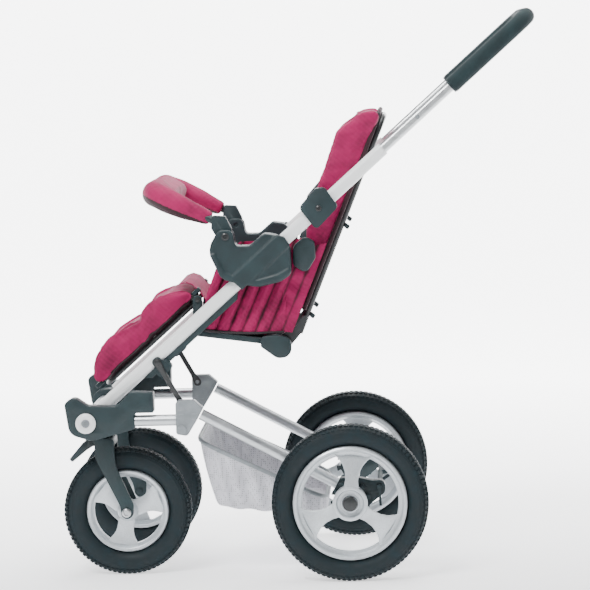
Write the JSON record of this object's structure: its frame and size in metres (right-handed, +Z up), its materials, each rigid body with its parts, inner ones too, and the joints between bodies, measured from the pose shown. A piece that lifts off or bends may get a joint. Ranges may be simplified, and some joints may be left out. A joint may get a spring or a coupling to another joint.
{
  "type": "jogging stroller",
  "caption": "Folding pushchair with two large rear wheels, two swivelling front wheels, a telescoping handle and a reclining lift-off seat with bumper bar and leg rest.",
  "frame": {"origin": "middle of the overall length and width, on the floor", "axes": "+Z up; the stroller faces -X, so -Y is on the left of a child who sits in it, the side that the picture shows"},
  "size_m": [0.9525, 0.622, 1.1017],
  "materials": {
    "basket_mesh": "open mesh",
    "bright_steel": "turned",
    "dark_plastic": "fine moulded grain",
    "dark_steel": "black powder coat",
    "frame_silver": "satin anodised",
    "grey_plastic": "moulded",
    "grip_foam": "foam",
    "magenta_cloth": "woven polyester",
    "silver_plastic": "silver lacquered",
    "tyre": "moulded rubber",
    "webbing": "woven webbing",
    "white_lacquer": "white powder coat",
    "white_plastic": "moulded"
  },
  "bodies": {
    "chassis": {"front_cross_tube": "frame_silver", "front_knuckle_left": "dark_plastic", "front_knuckle_right": "dark_plastic", "pivot_caps": "white_plastic", "steering_heads": "dark_plastic", "front_beams": "frame_silver", "rail_brackets": "grey_plastic", "side_rail_left": "frame_silver", "side_rail_right": "frame_silver", "rear_axle_tube": "frame_silver", "rear_carriers": "dark_plastic", "stub_axles": "bright_steel", "basket": "basket_mesh"},
    "brake": {"brake_pedal": "dark_plastic"},
    "push_frame": {"push_bar_left": "white_lacquer", "push_bar_right": "white_lacquer", "bar_heels": "dark_plastic", "fold_tracks": "dark_plastic", "guide_bushes": "white_plastic"},
    "fold_slider": {"fold_sliders": "dark_plastic"},
    "fold_strut": {"fold_struts": "dark_steel"},
    "collar_left": {"fold_collar_left": "dark_plastic"},
    "collar_right": {"fold_collar_right": "dark_plastic"},
    "handle": {"handle_tube": "frame_silver", "handle_grip": "grip_foam"},
    "button_left": {"telescope_button_left": "grey_plastic"},
    "button_right": {"telescope_button_right": "grey_plastic"},
    "seat": {"seat_bracket_left": "dark_plastic", "seat_bracket_right": "dark_plastic", "seat_base": "dark_plastic", "seat_knuckles": "dark_plastic", "side_panel_left": "magenta_cloth", "side_panel_right": "magenta_cloth", "seat_cushion": "magenta_cloth", "harness_buckle": "dark_plastic"},
    "back": {"back_frame": "dark_steel", "back_board": "dark_plastic", "back_cushion": "magenta_cloth", "recline_catches": "dark_plastic", "back_hooks": "dark_plastic", "shoulder_straps": "webbing"},
    "bumper": {"bumper_bar": "dark_plastic", "bumper_cover": "magenta_cloth"},
    "leg_rest": {"leg_rest_frame": "frame_silver", "leg_rest_pad": "magenta_cloth"},
    "rear_wheel_left": {"rear_tyre_left": "tyre", "rear_rim_left": "silver_plastic", "brake_ring_left": "dark_plastic"},
    "fork_left": {"fork_left": "dark_plastic"},
    "front_wheel_left": {"front_tyre_left": "tyre", "front_rim_left": "silver_plastic"},
    "swivel_lock_left": {"swivel_lock_left": "dark_plastic"},
    "rear_wheel_right": {"rear_tyre_right": "tyre", "rear_rim_right": "silver_plastic", "brake_ring_right": "dark_plastic"},
    "fork_right": {"fork_right": "dark_plastic"},
    "front_wheel_right": {"front_tyre_right": "tyre", "front_rim_right": "silver_plastic"},
    "swivel_lock_right": {"swivel_lock_right": "dark_plastic"}
  },
  "joints": [
    {"name": "fold", "type": "hinge", "parent": "chassis", "child": "push_frame", "pos_m": [-0.4165, 0, 0.313], "axis": [0, 1, 0], "range_deg": [0, 38], "deforming": ["basket"]},
    {"name": "fold_strut_turn", "type": "hinge", "parent": "chassis", "child": "fold_strut", "pos_m": [-0.2275, 0, 0.341], "axis": [0, 1, 0], "range_deg": [0, 131.2]},
    {"name": "fold_slider_travel", "type": "slide", "parent": "push_frame", "child": "fold_slider", "axis": [0.7513, 0, 0.66], "range_m": [0, 0.1031]},
    {"name": "collar_left_slide", "type": "slide", "parent": "push_frame", "child": "collar_left", "axis": [0.7513, 0, 0.66], "range_m": [0, 0.02], "stiffness_N_per_m": 300},
    {"name": "collar_right_slide", "type": "slide", "parent": "push_frame", "child": "collar_right", "axis": [0.7513, 0, 0.66], "range_m": [0, 0.02], "stiffness_N_per_m": 300},
    {"name": "handle_telescope", "type": "slide", "parent": "push_frame", "child": "handle", "axis": [-0.7513, 0, -0.66], "range_m": [-0.03, 0.08]},
    {"name": "button_left_press", "type": "slide", "parent": "handle", "child": "button_left", "axis": [0, 1, 0], "range_m": [0, 0.003], "stiffness_N_per_m": 800},
    {"name": "button_right_press", "type": "slide", "parent": "handle", "child": "button_right", "axis": [0, -1, 0], "range_m": [0, 0.003], "stiffness_N_per_m": 800},
    {"name": "seat_lift", "type": "slide", "parent": "push_frame", "child": "seat", "axis": [-0.66, 0, 0.7513], "range_m": [0, 0.12]},
    {"name": "recline", "type": "hinge", "parent": "seat", "child": "back", "pos_m": [-0.0345, 0, 0.449], "axis": [0, -1, 0], "range_deg": [-35, 0]},
    {"name": "bumper_lift", "type": "hinge", "parent": "seat", "child": "bumper", "pos_m": [-0.1345, 0, 0.671], "axis": [0, 1, 0], "range_deg": [0, 70]},
    {"name": "leg_rest_raise", "type": "hinge", "parent": "seat", "child": "leg_rest", "pos_m": [-0.19608, 0, 0.54392], "axis": [0, 1, 0], "range_deg": [-15, 35]},
    {"name": "brake_press", "type": "hinge", "parent": "chassis", "child": "brake", "pos_m": [0.1555, 0, 0.177], "axis": [0, 1, 0], "range_deg": [0, 35]},
    {"name": "rear_wheel_left_spin", "type": "hinge", "parent": "chassis", "child": "rear_wheel_left", "pos_m": [0.0985, -0.28, 0.153], "axis": [0, 1, 0], "continuous": true},
    {"name": "fork_left_swivel", "type": "hinge", "parent": "chassis", "child": "fork_left", "pos_m": [-0.3905, -0.149, 0.285], "axis": [0, 0, 1], "continuous": true},
    {"name": "front_wheel_left_spin", "type": "hinge", "parent": "fork_left", "child": "front_wheel_left", "pos_m": [-0.3465, -0.149, 0.127], "axis": [0, 1, 0], "continuous": true},
    {"name": "swivel_lock_left_flip", "type": "hinge", "parent": "fork_left", "child": "swivel_lock_left", "pos_m": [-0.4145, -0.149, 0.2665], "axis": [0, 1, 0], "range_deg": [0, 35]},
    {"name": "rear_wheel_right_spin", "type": "hinge", "parent": "chassis", "child": "rear_wheel_right", "pos_m": [0.0985, 0.28, 0.153], "axis": [0, 1, 0], "continuous": true},
    {"name": "fork_right_swivel", "type": "hinge", "parent": "chassis", "child": "fork_right", "pos_m": [-0.3905, 0.149, 0.285], "axis": [0, 0, 1], "continuous": true},
    {"name": "front_wheel_right_spin", "type": "hinge", "parent": "fork_right", "child": "front_wheel_right", "pos_m": [-0.3465, 0.149, 0.127], "axis": [0, 1, 0], "continuous": true},
    {"name": "swivel_lock_right_flip", "type": "hinge", "parent": "fork_right", "child": "swivel_lock_right", "pos_m": [-0.4145, 0.149, 0.2665], "axis": [0, 1, 0], "range_deg": [0, 35]}
  ],
  "couplings": [
    {"joint": "fold_strut_turn", "follows": "fold", "ratio": 3.45},
    {"joint": "fold_slider_travel", "follows": "fold", "m_per_rad": 0.1553}
  ]
}
